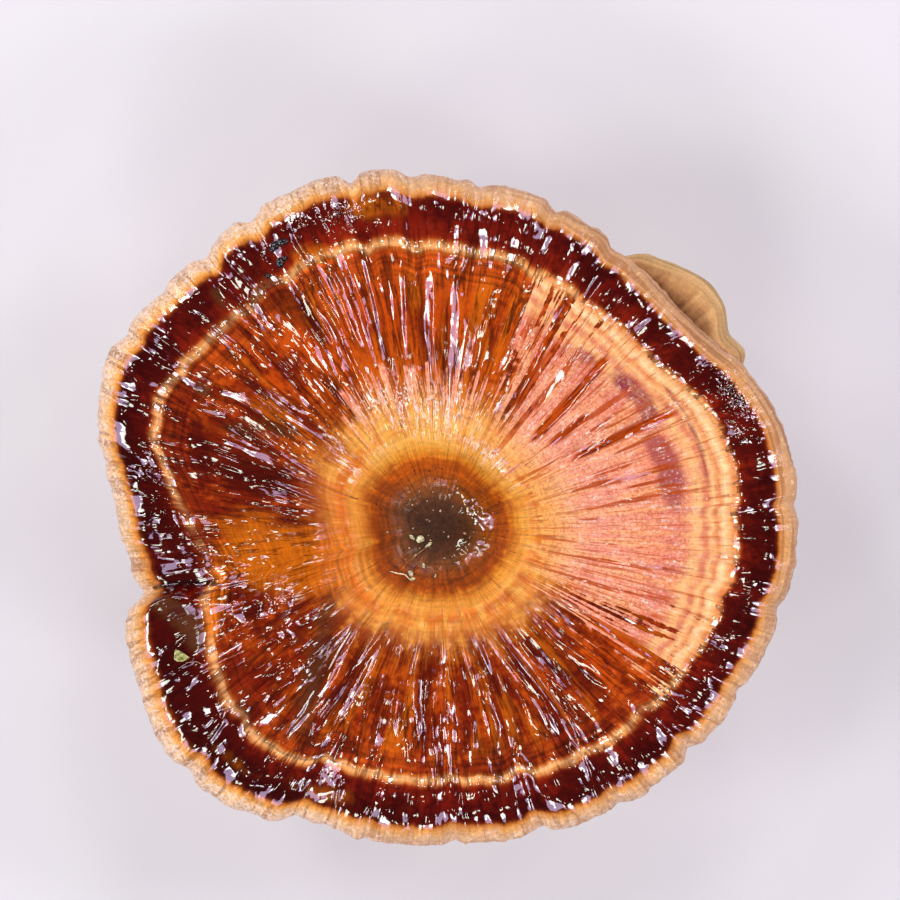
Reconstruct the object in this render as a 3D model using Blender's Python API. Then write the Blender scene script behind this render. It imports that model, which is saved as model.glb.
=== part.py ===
# A reishi mushroom: a shallow, funnel-shaped, varnished cap with a pale rolled margin, on a short
# woody stem that is cut off flat where it grew. The mushroom stands on the cut.
#
# +Z is up, and the origin is the centre of the stem's cut face. The sizes below are millimetres,
# and the meshes are metres. Angles are degrees, anticlockwise from +X as seen from above. Places on
# the cap are given by an angle and by a share of the way out: 0 at the hub and 1 at the margin.

import math

import bmesh
import bpy
import numpy as np
from mathutils import Vector, noise

MM = 0.001
TURN = 360.0

# Cap
HUB = (-1.5, -4.0)  # where the stem's axis meets the cap, seen from above
PIT_FLOOR = 58.0  # height of the bottom of the central pit
COLLAR_RADIUS = 11.5  # flat of the underside that the stem carries
CAP_COLUMNS = 264
CAP_KEPT_FACES = 0.24  # share of the fine mesh that is kept after thinning it out

# The margin seen from above, as angle and distance from the hub
RIM = [
    (5, 79.5), (18, 79.0), (26, 77.0), (34, 73.6), (42, 72.4), (52, 73.2), (62, 75.0), (75, 77.0),
    (88, 77.6), (100, 80.4), (112, 81.5), (125, 81.0), (138, 80.2), (152, 82.0), (158, 80.6),
    (165, 77.6), (171, 73.7), (176, 71.3), (181, 70.0), (186, 68.5), (190, 68.6), (196, 71.7),
    (200, 72.9), (205, 74.0), (218, 77.0), (231, 76.6), (241, 73.4), (248, 69.8), (256, 70.2),
    (263, 69.6), (280, 70.0), (298, 72.3), (315, 74.3), (335, 76.5), (350, 78.8),
]
MARGIN_RIPPLE = 0.35  # small waves of the margin
MARGIN_RIPPLES_ROUND = 9.0  # noise cells across the diameter

# How far the margin is lifted or drooping, as angle and height
RIM_LIFT = [
    (15, 2.6), (45, 1.6), (75, 0.2), (100, 0.9), (122, -0.6), (140, 0.8), (160, -0.4), (180, -2.2),
    (200, -1.6), (222, 0.4), (243, -0.8), (262, 0.8), (285, -0.6), (310, 1.4), (340, 0.6),
]

# The rolled margin, which begins where the top turns over
LIP_START = 0.955
LIP_REACH = 3.8
LIP_HALF_HEIGHT = 3.3
LIP_SLANTS = (66, 42, 18, -8, -36, -64)

# The second lip, which bulges out below the margin, as angle and distance from the hub
LOWER_LIP = [
    (22, 74.0), (27, 77.0), (30, 78.6), (34, 78.0), (38, 80.8), (42, 81.5), (47, 79.6), (54, 76.5),
    (62, 74.0),
]
LOWER_LIP_REACH = 4.4
LOWER_LIP_HALF_HEIGHT = 2.7
LOWER_LIP_DROP = 4.2  # how much lower the underside hangs there
LOWER_LIP_SLANTS = (70, 40, 10, -22, -52, -84)

# Sections along the radius, as share of the way out and height above the pit's floor
TOP_SECTION = [
    (0.00, 0.0), (0.07, 0.25), (0.14, 1.8), (0.20, 4.8), (0.26, 7.8), (0.33, 9.6), (0.45, 11.3),
    (0.60, 13.0), (0.74, 14.2), (0.80, 14.5), (0.87, 15.5), (0.92, 15.3), (0.955, 14.4),
]
UNDER_SECTION = [
    (0.00, -12.0), (0.07, -9.8), (0.22, -5.2), (0.45, -0.4), (0.70, 3.8), (0.90, 6.7), (1.00, 7.8),
]

# Growth rings of the top: share of the way out, half width as a share, and height
GROWTH_RINGS = [
    (0.255, 0.014, 0.35), (0.48, 0.012, -0.15), (0.62, 0.012, -0.2), (0.70, 0.010, 0.25),
    (0.785, 0.012, -0.55), (0.815, 0.011, 0.75),
]
RING_WANDER = [
    (0, 0.035), (30, 0.045), (60, 0.01), (100, 0.0), (140, 0.01), (165, 0.015), (185, -0.05),
    (197, -0.065), (215, -0.04), (232, -0.015), (262, -0.025), (300, 0.0), (335, 0.02),
]

# Radial furrows: angle, half width in degrees, notch in the margin, depth, and inner end
FURROWS = [
    (94.5, 1.7, 1.1, 0.8, 0.84), (104.0, 1.2, 1.7, 1.0, 0.80), (120.8, 1.6, 1.6, 1.3, 0.70),
    (130.2, 1.7, 1.7, 1.6, 0.58), (148.0, 1.5, 0.9, 1.2, 0.60), (168.0, 1.6, 0.5, 1.1, 0.62),
    (209.0, 1.4, 0.3, 0.7, 0.72), (224.2, 1.7, 1.0, 1.0, 0.70), (243.6, 1.9, 1.6, 1.2, 0.66),
    (257.0, 1.2, 0.4, 0.7, 0.70), (273.0, 1.8, 1.0, 0.9, 0.66), (289.0, 1.9, 1.5, 1.3, 0.58),
    (303.5, 1.4, 0.8, 0.9, 0.74), (319.0, 1.7, 1.4, 1.2, 0.66), (332.0, 1.4, 0.6, 0.8, 0.72),
    (347.0, 1.8, 1.2, 1.0, 0.66), (4.0, 1.3, 0.7, 0.8, 0.74), (58.0, 1.8, 1.0, 1.0, 0.70),
    (70.0, 1.4, 1.2, 0.9, 0.74), (83.0, 1.6, 0.8, 0.8, 0.72),
]

# The deep crease, where the margin is folded and one side dips below the other
CREASE_LINE = [(0.55, 197.0), (0.70, 194.9), (0.80, 193.0), (0.90, 191.5), (1.00, 192.5)]  # share, angle
CREASE_NOTCH = 2.6
CREASE_NOTCH_WIDTH = 1.8  # degrees
CREASE_DEPTH = 4.6
CREASE_REACH = (0.56, 0.90)  # where it begins, and where it is full
CREASE_WIDTHS = (7.5, 1.4)  # degrees, on the side that dips and on the ledge

# Narrow valleys of the top: angle and share at both ends, half width and depth
VALLEYS = [
    (42.9, 0.37, 45.5, 0.76, 1.3, 0.8), (36.9, 0.40, 37.7, 0.60, 0.9, 0.5),
    (27.8, 0.42, 26.6, 0.78, 1.1, 0.8), (58.0, 0.40, 60.0, 0.66, 1.0, 0.5),
]

# Blisters of the top: place from the hub, radius and height
BLISTERS = [
    (-40.5, -17.2, 4.6, 1.3), (-33.5, -15.8, 2.4, 0.7), (-32.6, -22.3, 2.4, 0.7), (-28.0, -30.5, 2.6, 0.6),
]

# Radial wrinkles, which stand out as ridges
WRINKLE_HEIGHT = 0.8
WRINKLES_ROUND = 9.0  # noise cells across the diameter
WRINKLE_LENGTH = 3.2  # noise cells along the radius

# Stem
STEM_GAP = 0.3  # left free below the cap
STEM_RADII = [
    (0.00, 14.6), (0.05, 14.2), (0.16, 11.9), (0.34, 10.0), (0.55, 9.5), (0.74, 10.3), (0.88, 10.9),
    (1.00, COLLAR_RADIUS),
]
STEM_SWAY_X = [(0.0, 0.0), (0.3, 1.3), (0.6, 0.4), (1.0, HUB[0])]
STEM_SWAY_Y = [(0.0, 0.0), (0.3, -0.2), (0.6, -2.4), (1.0, HUB[1])]
STEM_COLUMNS = 40
STEM_ROWS = 21
KNOB_HEIGHT = 1.1


def smooth_line(points, turn=0.0):
    """The smooth line through (x, y) points, as a function. With turn, the line closes on itself."""
    x, y = np.array(points, float).T
    order = np.argsort(x)
    x, y = x[order], y[order]
    if turn:
        x = np.concatenate([x[-2:] - turn, x, x[:2] + turn])
        y = np.concatenate([y[-2:], y, y[:2]])
    slope = np.gradient(y, x)

    def at(where):
        where = np.clip(where, x[0], x[-1])
        k = np.clip(np.searchsorted(x, where) - 1, 0, len(x) - 2)
        span = x[k + 1] - x[k]
        t = (where - x[k]) / span
        ends = (1 + 2 * t) * (1 - t) ** 2 * y[k] + t * t * (3 - 2 * t) * y[k + 1]
        return ends + span * t * (1 - t) * ((1 - t) * slope[k] - t * slope[k + 1])

    return at


def eased(value, low, high):
    """0 below low, 1 above high and smooth between them."""
    t = np.clip((value - low) / (high - low), 0, 1)
    return t * t * (3 - 2 * t)


def bump(off, width):
    """1 at the middle, fading out over the width on both sides."""
    return np.exp(-((off / width) ** 2))


def noise_at(x, y, z):
    """Soft noise from -1 to 1 at every point of the arrays."""
    x, y, z = np.broadcast_arrays(x, y, z)
    found = [noise.noise(Vector(p)) for p in zip(x.ravel(), y.ravel(), z.ravel())]
    return np.array(found).reshape(x.shape)


def angle_between(a, b):
    """The turn from angle b to angle a, from -180 to 180 degrees."""
    return (a - b + TURN / 2) % TURN - TURN / 2


rim_radius = smooth_line(RIM, TURN)
rim_lift = smooth_line(RIM_LIFT, TURN)
lower_lip_radius = smooth_line(LOWER_LIP)
ring_wander = smooth_line(RING_WANDER, TURN)
top_height = smooth_line(TOP_SECTION)
under_height = smooth_line(UNDER_SECTION)
crease_angle = smooth_line(CREASE_LINE)


def crease_felt(angle, out, ledge):
    """How strongly the crease is felt there. The ledge is the width of its steep side."""
    off = angle_between(angle, crease_angle(out))
    return bump(off, np.where(off < 0, CREASE_WIDTHS[0], ledge))


def margin_radius(angle):
    """Distance of the margin from the hub, with its notches and ripples."""
    radians = np.radians(angle)
    x = MARGIN_RIPPLES_ROUND * np.cos(radians)
    y = MARGIN_RIPPLES_ROUND * np.sin(radians)
    radius = rim_radius(angle) + MARGIN_RIPPLE * noise_at(x, y, 7.7)
    for middle, width, notch, _, _ in FURROWS:
        radius = radius - notch * bump(angle_between(angle, middle), width)
    return radius - CREASE_NOTCH * bump(angle_between(angle, crease_angle(1.0)), CREASE_NOTCH_WIDTH)


def lower_lip_share(angle):
    """1 where the second lip stands out below the margin, and 0 away from it."""
    return eased(angle, 23, 30) * (1 - eased(angle, 52, 61))


def sheet_bend(angle, out, ledge=CREASE_WIDTHS[1]):
    """How far the whole thickness of the cap bends up or down there."""
    bend = rim_lift(angle) * out**2
    for middle, width, _, depth, inner in FURROWS:
        felt = bump(angle_between(angle, middle), width)
        bend = bend - 0.7 * depth * felt * eased(out, inner, inner + 0.35)
    return bend - CREASE_DEPTH * crease_felt(angle, out, ledge) * eased(out, *CREASE_REACH)


def valley_depth(angle, out, rim):
    """Depth of the narrow valleys there."""
    depth = 0.0 * out
    for start_angle, start, end_angle, end, width, full in VALLEYS:
        share = np.clip((out - start) / (end - start), 0, 1)
        line = start_angle + share * (end_angle - start_angle)
        off = np.radians(angle_between(angle, line)) * out * rim
        length = eased(out, start - 0.03, start + 0.08) * (1 - eased(out, end - 0.08, end + 0.03))
        depth = depth + full * bump(off, width) * length
    return depth


def top_relief(angle, out, rim):
    """Height of the growth rings, furrows, blisters and radial wrinkles of the top."""
    radians = np.radians(angle)
    x, y = np.cos(radians), np.sin(radians)
    height = -valley_depth(angle, out, rim)
    wander = ring_wander(angle) * eased(out, 0.4, 0.75)
    for middle, width, ring in GROWTH_RINGS:
        height = height + ring * bump(out - wander - middle, width)
    for middle, width, _, depth, inner in FURROWS:
        felt = bump(angle_between(angle, middle), width)
        height = height - 0.45 * depth * felt * eased(out, inner, inner + 0.2)
    for blister_x, blister_y, radius, rise in BLISTERS:
        away = np.hypot(out * rim * x - blister_x, out * rim * y - blister_y)
        height = height + rise * (1 - eased(away, 0.35 * radius, radius))
    twist = 0.12 * noise_at(2.2 * x, 2.2 * y, 2.5 * out)
    x, y = x - twist * y, y + twist * x
    ridges = 1 - 2.4 * np.abs(noise_at(WRINKLES_ROUND * x, WRINKLES_ROUND * y, WRINKLE_LENGTH * out))
    strength = eased(out, 0.2, 0.42) * (1 - 0.45 * eased(out, 0.86, 0.94))
    return height + WRINKLE_HEIGHT * strength * ridges


def cap_section(angle):
    """The rows of the cap, each as a distance from the hub and a height for every angle."""
    rim = margin_radius(angle)
    lower = lower_lip_share(angle)
    rows = []

    # The top, from the hub to where the margin rolls over
    outs = [np.linspace(0, 0.3, 12), np.linspace(0.33, 0.76, 14), np.linspace(0.775, LIP_START, 14)]
    for out in np.concatenate(outs):
        share = np.full_like(angle, out)
        relief = top_relief(angle, share, rim)
        rows.append((out * rim, PIT_FLOOR + top_height(out) + sheet_bend(angle, share) + relief))

    # The rolled margin
    middle = rim - LIP_REACH
    middle_height = rows[-1][1] - LIP_HALF_HEIGHT
    for slant in np.radians(LIP_SLANTS):
        reach = LIP_REACH * math.cos(slant)
        rise = LIP_HALF_HEIGHT * math.sin(slant)
        rows.append((middle + reach, middle_height + rise))

    # The second lip, and elsewhere the same rows gathered at the edge of the underside
    edge = np.full_like(angle, LIP_START)
    under_edge = PIT_FLOOR + under_height(1.0) + sheet_bend(angle, edge, CREASE_WIDTHS[0])
    fold = (middle - 0.4, middle_height - LIP_HALF_HEIGHT + 0.1)
    lip_middle = lower_lip_radius(angle) - LOWER_LIP_REACH
    lip_height = middle_height - LIP_HALF_HEIGHT - LOWER_LIP_HALF_HEIGHT + 0.9
    bulges = [fold]
    for slant in np.radians(LOWER_LIP_SLANTS):
        reach = LOWER_LIP_REACH * math.cos(slant)
        rise = LOWER_LIP_HALF_HEIGHT * math.sin(slant)
        bulges.append((lip_middle + reach, lip_height + rise))
    for k, (bulge_radius, bulge_height) in enumerate(bulges):
        radius = middle + 0.9 - 0.55 * k
        height = under_edge + 0.12 - 0.1 * k
        rows.append((radius + lower * (bulge_radius - radius), height + lower * (bulge_height - height)))

    # The underside, from the margin in to the flat that the stem carries
    start_radius = rows[-1][0]
    for inward in np.linspace(0.94, 0.0, 11):
        radius = COLLAR_RADIUS + inward * (start_radius - COLLAR_RADIUS)
        bend = sheet_bend(angle, radius / rim, CREASE_WIDTHS[0]) * eased(inward, 0.0, 0.3)
        drop = lower * LOWER_LIP_DROP * eased(inward, 0.62, 0.97)
        rows.append((radius, PIT_FLOOR + under_height(inward) + bend - drop))
    rows.append((np.zeros_like(angle), rows[-1][1]))
    return rows


def ball_onto_rows(name, rows, centres, columns):
    """A mesh made from a sphere, whose rings of vertices are moved onto the rows of a section."""
    bm = bmesh.new()
    last = len(rows) - 1
    bmesh.ops.create_uvsphere(bm, u_segments=columns, v_segments=last, radius=1.0)
    for vert in bm.verts:
        row = round(math.acos(max(-1.0, min(1.0, vert.co.z))) / math.pi * last)
        around = math.atan2(vert.co.y, vert.co.x)
        column = round(around / math.tau * columns) % columns
        radius, height = rows[row][0][column], rows[row][1][column]
        x, y = centres[row]
        vert.co = Vector((x + radius * math.cos(around), y + radius * math.sin(around), height)) * MM
    bmesh.ops.recalc_face_normals(bm, faces=bm.faces)
    mesh = bpy.data.meshes.new(name)
    bm.to_mesh(mesh)
    bm.free()
    return mesh


def column_angles(columns):
    return np.arange(columns) * TURN / columns


def material(name, colour, roughness):
    made = bpy.data.materials.new(name)
    made.use_nodes = True
    shader = made.node_tree.nodes["Principled BSDF"]
    shader.inputs["Base Color"].default_value = (*colour, 1.0)
    shader.inputs["Roughness"].default_value = roughness
    shader.inputs["Metallic"].default_value = 0.0
    return made


def add(collection, name, mesh, finish):
    piece = bpy.data.objects.new(name, mesh)
    mesh.materials.append(finish)
    mesh.shade_smooth()
    collection.objects.link(piece)
    return piece


def make_cap(collection):
    angle = column_angles(CAP_COLUMNS)
    rows = cap_section(angle)
    mesh = ball_onto_rows("cap", rows, [HUB] * len(rows), CAP_COLUMNS)
    cap = add(collection, "cap", mesh, material("varnished cap", (0.30, 0.06, 0.015), 0.2))
    # Fewer faces where the surface is smooth, and as many as before along its ridges
    thinning = cap.modifiers.new("fewer faces", "DECIMATE")
    thinning.ratio = CAP_KEPT_FACES


def make_stem(collection):
    angle = column_angles(STEM_COLUMNS)
    x, y = np.cos(np.radians(angle)), np.sin(np.radians(angle))
    top = PIT_FLOOR + under_height(0.0) - STEM_GAP
    stem_radius = smooth_line(STEM_RADII)
    sway_x, sway_y = smooth_line(STEM_SWAY_X), smooth_line(STEM_SWAY_Y)
    centre_row = np.zeros_like(angle)
    rows = [(centre_row, centre_row + top)]
    centres = [HUB]
    for share in np.linspace(1, 0, STEM_ROWS):
        lumps = noise_at(1.4 * x, 1.4 * y, 5.0 * share + 3.1) + 0.5 * noise_at(3 * x, 3 * y, 2.2 * share)
        strength = 0.3 + eased(share, 0.0, 0.1) * (1 - eased(share, 0.86, 0.99))
        rows.append((stem_radius(share) + KNOB_HEIGHT * strength * lumps, centre_row + top * share))
        centres.append((sway_x(share), sway_y(share)))
    rows.append((centre_row, centre_row))
    centres.append((0.0, 0.0))
    mesh = ball_onto_rows("stem", rows, centres, STEM_COLUMNS)
    add(collection, "stem", mesh, material("stem crust", (0.09, 0.022, 0.01), 0.3))


def main():
    for old in list(bpy.data.objects):
        bpy.data.objects.remove(old)
    collection = bpy.data.collections.new("reishi mushroom")
    bpy.context.scene.collection.children.link(collection)
    make_cap(collection)
    make_stem(collection)


main()
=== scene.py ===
import math

import bmesh
import bpy
import numpy as np
from mathutils import Matrix, Vector, noise
from mathutils.bvhtree import BVHTree


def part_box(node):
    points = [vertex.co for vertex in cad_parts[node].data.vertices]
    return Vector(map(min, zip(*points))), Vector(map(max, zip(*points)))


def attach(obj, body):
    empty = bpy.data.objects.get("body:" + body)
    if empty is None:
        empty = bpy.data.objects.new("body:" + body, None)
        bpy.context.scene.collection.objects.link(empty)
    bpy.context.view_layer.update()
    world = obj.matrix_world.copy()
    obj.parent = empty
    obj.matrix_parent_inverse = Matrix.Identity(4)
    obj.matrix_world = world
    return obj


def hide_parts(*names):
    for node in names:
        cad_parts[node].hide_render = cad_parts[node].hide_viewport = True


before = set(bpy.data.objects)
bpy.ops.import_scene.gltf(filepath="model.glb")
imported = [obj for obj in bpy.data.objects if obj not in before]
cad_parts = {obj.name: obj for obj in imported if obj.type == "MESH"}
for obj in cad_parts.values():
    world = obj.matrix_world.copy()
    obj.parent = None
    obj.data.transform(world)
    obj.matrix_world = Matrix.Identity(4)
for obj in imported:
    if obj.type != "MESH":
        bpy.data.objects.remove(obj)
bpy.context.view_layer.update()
print("frame loaded:", sorted(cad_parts))

# Sizes are millimetres until a mesh is made, and angles are degrees, anticlockwise from +X as seen
# from above. A place on the cap is an angle and a share of the way out, 0 at the hub and 1 at the
# margin, or a pixel of the photograph, which looks straight down.
mm = 0.001
fullTurn = 360.0
photo = {
    "hub": (437, 530),
    "pixel": 0.22,       # size of a pixel on the cap
    "middle": (450, 450),
}


def smoothLine(points, around=0.0):
    # the smooth line through (x, y) points, as a function. With around, it closes on itself
    x, y = np.array(points, float).T
    order = np.argsort(x)
    x, y = x[order], y[order]
    if around:
        x = np.concatenate([x[-2:] - around, x, x[:2] + around])
        y = np.concatenate([y[-2:], y, y[:2]])
    slope = np.gradient(y, x)

    def at(where):
        where = np.clip(where, x[0], x[-1])
        k = np.clip(np.searchsorted(x, where) - 1, 0, len(x) - 2)
        span = x[k + 1] - x[k]
        t = (where - x[k]) / span
        ends = (1 + 2 * t) * (1 - t) ** 2 * y[k] + t * t * (3 - 2 * t) * y[k + 1]
        return ends + span * t * (1 - t) * ((1 - t) * slope[k] - t * slope[k + 1])

    return at


def eased(value, low, high):
    t = np.clip((value - low) / (high - low), 0, 1)
    return t * t * (3 - 2 * t)


def between(value, startOut, startIn, endIn, endOut):
    return eased(value, startOut, startIn) * (1 - eased(value, endIn, endOut))


def hump(off, width):
    return np.exp(-((off / width) ** 2))


def noiseAt(x, y, z, cells=1.0):
    x, y, z = np.broadcast_arrays(cells * x, cells * y, z)
    found = [noise.noise(Vector(p)) for p in zip(x.ravel(), y.ravel(), z.ravel())]
    return np.array(found).reshape(x.shape)


def anglesOf(count):
    return np.arange(count) * fullTurn / count


def spokes(angle, radius=1.0):
    # the place that lies this far out in a direction, as x and y
    return radius * np.cos(np.radians(angle)), radius * np.sin(np.radians(angle))


def turnBetween(a, b):
    return (a - b + fullTurn / 2) % fullTurn - fullTurn / 2


def fromPhoto(line):
    # pixels of the photograph as millimetres from the hub, seen from above
    hubX, hubY = photo["hub"]
    return [((x - hubX) * photo["pixel"], (hubY - y) * photo["pixel"]) for x, y in line]


def lineFelt(x, y, line, width, blunt=0.4):
    # 1 along the line, fading out over the width on both sides and towards the ends
    points = np.array(line, float)
    spans = np.diff(points, axis=0)
    lengths = np.hypot(*spans.T)
    starts = np.concatenate([[0], np.cumsum(lengths)])
    nearest = np.full_like(x, np.inf)
    along = np.zeros_like(x)
    for (startX, startY), (stepX, stepY), length, start in zip(points, spans, lengths, starts):
        t = np.clip(((x - startX) * stepX + (y - startY) * stepY) / length**2, 0, 1)
        away = np.hypot(x - startX - t * stepX, y - startY - t * stepY)
        along = np.where(away < nearest, (start + t * length) / starts[-1], along)
        nearest = np.minimum(nearest, away)
    return hump(nearest, width) * (0.03 + 4 * along * (1 - along)).clip(0, 1) ** blunt


# The cap's form, with the same values as its solid
capLow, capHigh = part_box("cap")
capForm = {
    "hub": (-1.5, -4.0),
    "collarHeight": capLow.z / mm,
    "fleshAtHub": 12.0,
    "collarRadius": 11.5,
    "rim": [
        (5, 79.5), (18, 79.0), (26, 77.0), (34, 73.6), (42, 72.4), (52, 73.2), (62, 75.0),
        (75, 77.0), (88, 77.6), (100, 80.4), (112, 81.5), (125, 81.0), (138, 80.2), (152, 82.0),
        (158, 80.6), (165, 77.6), (171, 73.7), (176, 71.3), (181, 70.0), (186, 68.5), (190, 68.6),
        (196, 71.7), (200, 72.9), (205, 74.0), (218, 77.0), (231, 76.6), (241, 73.4), (248, 69.8),
        (256, 70.2), (263, 69.6), (280, 70.0), (298, 72.3), (315, 74.3), (335, 76.5), (350, 78.8),
    ],
    "rimRipple": (0.35, 9.0),      # height, and noise cells across the diameter
    "rimLift": [
        (15, 2.6), (45, 1.6), (75, 0.2), (100, 0.9), (122, -0.6), (140, 0.8), (160, -0.4),
        (180, -2.2), (200, -1.6), (222, 0.4), (243, -0.8), (262, 0.8), (285, -0.6), (310, 1.4),
        (340, 0.6),
    ],
    "lipStart": 0.955,
    "lipReach": 3.8,
    "lipHalfHeight": 3.3,
    "lipSlants": (66, -64),
    "lowerLip": [
        (22, 74.0), (27, 77.0), (30, 78.6), (34, 78.0), (38, 80.8), (42, 81.5), (47, 79.6),
        (54, 76.5), (62, 74.0),
    ],
    "lowerLipAngles": (23, 30, 52, 61),
    "lowerLipReach": 4.4,
    "lowerLipHalfHeight": 2.7,
    "lowerLipDrop": 4.2,
    "lowerLipSlants": (70, -84),
    "topSection": [
        (0.00, 0.0), (0.07, 0.25), (0.14, 1.8), (0.20, 4.8), (0.26, 7.8), (0.33, 9.6),
        (0.45, 11.3), (0.60, 13.0), (0.74, 14.2), (0.80, 14.5), (0.87, 15.5), (0.92, 15.3),
        (0.955, 14.4),
    ],
    "underSection": [
        (0.00, -12.0), (0.07, -9.8), (0.22, -5.2), (0.45, -0.4), (0.70, 3.8), (0.90, 6.7),
        (1.00, 7.8),
    ],
    "growthRings": [               # share of the way out, half width as a share, height
        (0.255, 0.014, 0.35), (0.48, 0.012, -0.15), (0.62, 0.012, -0.2), (0.70, 0.010, 0.25),
        (0.785, 0.012, -0.55), (0.815, 0.011, 0.75),
    ],
    "ringLine": 0.80,
    "ringWander": [
        (0, 0.022), (30, 0.03), (60, 0.005), (100, 0.0), (140, 0.01), (165, 0.015), (185, -0.05),
        (197, -0.065), (215, -0.04), (232, -0.016), (247, -0.006), (262, -0.010), (300, 0.0),
        (335, 0.02),
    ],
    "wanderReach": (0.4, 0.75),    # shares between which the wander sets in
    "furrows": [                   # angle, half width, notch in the margin, depth, inner end
        (94.5, 1.7, 1.1, 0.8, 0.84), (104.0, 1.2, 1.7, 1.0, 0.80), (120.8, 1.6, 1.6, 1.3, 0.70),
        (130.2, 1.7, 1.7, 1.6, 0.58), (148.0, 1.5, 0.9, 1.2, 0.60), (168.0, 1.6, 0.5, 1.1, 0.62),
        (209.0, 1.4, 0.3, 0.7, 0.72), (224.2, 1.7, 1.0, 1.0, 0.70), (243.6, 1.9, 1.6, 1.2, 0.66),
        (257.0, 1.2, 0.4, 0.7, 0.70), (273.0, 1.8, 1.0, 0.9, 0.66), (289.0, 1.9, 1.5, 1.3, 0.58),
        (303.5, 1.4, 0.8, 0.9, 0.74), (319.0, 1.7, 1.4, 1.2, 0.66), (332.0, 1.4, 0.6, 0.8, 0.72),
        (347.0, 1.8, 1.2, 1.0, 0.66), (4.0, 1.3, 0.7, 0.8, 0.74), (58.0, 1.8, 1.0, 1.0, 0.70),
        (70.0, 1.4, 1.2, 0.9, 0.74), (83.0, 1.6, 0.8, 0.8, 0.72),
    ],
    "furrowBend": (0.7, 0.35),     # share of the depth in the sheet, and how far from the inner end it grows
    "furrowGroove": (0.45, 0.2),   # the same for the top alone
    "creaseLine": [(0.55, 197.0), (0.70, 194.9), (0.80, 193.0), (0.90, 191.5), (1.00, 192.5)],
    "creaseNotch": (2.6, 1.8),     # depth, and half width in degrees
    "creaseDepth": 4.6,
    "creaseReach": (0.56, 0.90),
    "creaseWidths": (7.5, 1.4),    # degrees, on the side that dips and on the ledge
    "valleys": [                   # angle and share at both ends, half width, depth
        (42.9, 0.37, 45.5, 0.76, 1.3, 0.8), (36.9, 0.40, 37.7, 0.60, 0.9, 0.5),
        (27.8, 0.42, 26.6, 0.78, 1.1, 0.8), (58.0, 0.40, 60.0, 0.66, 1.0, 0.5),
    ],
    "blisters": [                  # place from the hub, radius and height
        (-40.5, -17.2, 4.6, 1.3), (-33.5, -15.8, 2.4, 0.7), (-32.6, -22.3, 2.4, 0.7),
        (-28.0, -30.5, 2.6, 0.6),
    ],
    "wrinkles": (0.8, 9.0, 3.2),   # height, noise cells across the diameter and along the radius
    "wrinkleTwist": [(0.12, 2.2, 2.5)],
}
rimRadius = smoothLine(capForm["rim"], fullTurn)
rimLift = smoothLine(capForm["rimLift"], fullTurn)
lowerLipRadius = smoothLine(capForm["lowerLip"])
ringWander = smoothLine(capForm["ringWander"], fullTurn)
topHeight = smoothLine(capForm["topSection"])
underHeight = smoothLine(capForm["underSection"])
creaseAngle = smoothLine(capForm["creaseLine"])
pitFloor = capForm["collarHeight"] + capForm["fleshAtHub"]


def ridged(x, y, z, cells):
    # noise folded into ridges that stand up to 1 high
    return 1 - 2.4 * np.abs(noiseAt(x, y, z, cells))


def wavesAt(x, y, along, tiers):
    # noise of a few sizes, each given as height, cells across and cells along
    return sum(rise * noiseAt(x, y, steps * along, cells) for rise, cells, steps in tiers)


def creaseFelt(angle, out, ledge):
    off = turnBetween(angle, creaseAngle(out))
    return hump(off, np.where(off < 0, capForm["creaseWidths"][0], ledge))


def furrowsFelt(angle, out, depthShare, reach):
    # how deep the furrows lie, as a share of their depth that grows over this reach from the inner end
    felt = 0.0
    for middle, width, _, depth, inner in capForm["furrows"]:
        here = hump(turnBetween(angle, middle), width) * eased(out, inner, inner + reach)
        felt = felt + depthShare * depth * here
    return felt


def marginRadius(angle):
    height, cells = capForm["rimRipple"]
    radius = rimRadius(angle) + height * noiseAt(*spokes(angle), 7.7, cells)
    for middle, width, notch, _, _ in capForm["furrows"]:
        radius = radius - notch * hump(turnBetween(angle, middle), width)
    notch, width = capForm["creaseNotch"]
    return radius - notch * hump(turnBetween(angle, creaseAngle(1.0)), width)


def sheetBend(angle, out, ledge):
    bend = rimLift(angle) * out**2 - furrowsFelt(angle, out, *capForm["furrowBend"])
    return bend - capForm["creaseDepth"] * creaseFelt(angle, out, ledge) * eased(out, *capForm["creaseReach"])


def valleyFelt(angle, out, rim):
    felt, depth = 0.0, 0.0
    for startAngle, start, endAngle, end, width, full in capForm["valleys"]:
        share = np.clip((out - start) / (end - start), 0, 1)
        off = np.radians(turnBetween(angle, startAngle + share * (endAngle - startAngle))) * out * rim
        here = hump(off, width) * between(out, start - 0.03, start + 0.08, end - 0.08, end + 0.03)
        felt = felt + here
        depth = depth + full * here
    return felt, depth


def ringWobble(angle, out):
    share, cells = capFine["ringWobble"]
    return share * noiseAt(*spokes(angle), 3.0 * out, cells) * eased(out, 0.2, 0.5)


def ringShift(angle, out):
    # how far a growth ring lies from a plain copy of the margin
    return ringWander(angle) * eased(out, *capForm["wanderReach"]) + ringWobble(angle, out)


def topRelief(angle, out, rim):
    # height of the growth rings, furrows, valleys, blisters and wrinkles, and how high the ridges stand
    x, y = spokes(angle)
    height = -valleyFelt(angle, out, rim)[1] - furrowsFelt(angle, out, *capForm["furrowGroove"])
    for middle, width, ring in capForm["growthRings"]:
        height = height + capFine["ringRelief"] * ring * hump(out - ringShift(angle, out) - middle, width)
    for blisterX, blisterY, radius, rise in capForm["blisters"]:
        away = np.hypot(out * rim * x - blisterX, out * rim * y - blisterY)
        height = height + rise * (1 - eased(away, 0.35 * radius, radius))
    twist = wavesAt(x, y, out, capForm["wrinkleTwist"])
    rise, across, along = capForm["wrinkles"]
    strength = eased(out, 0.2, 0.42) * (1 - 0.45 * eased(out, 0.86, 0.94))
    crest = ridged(x - twist * y, y + twist * x, along * out, across) * strength
    return height + rise * crest, crest


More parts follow.
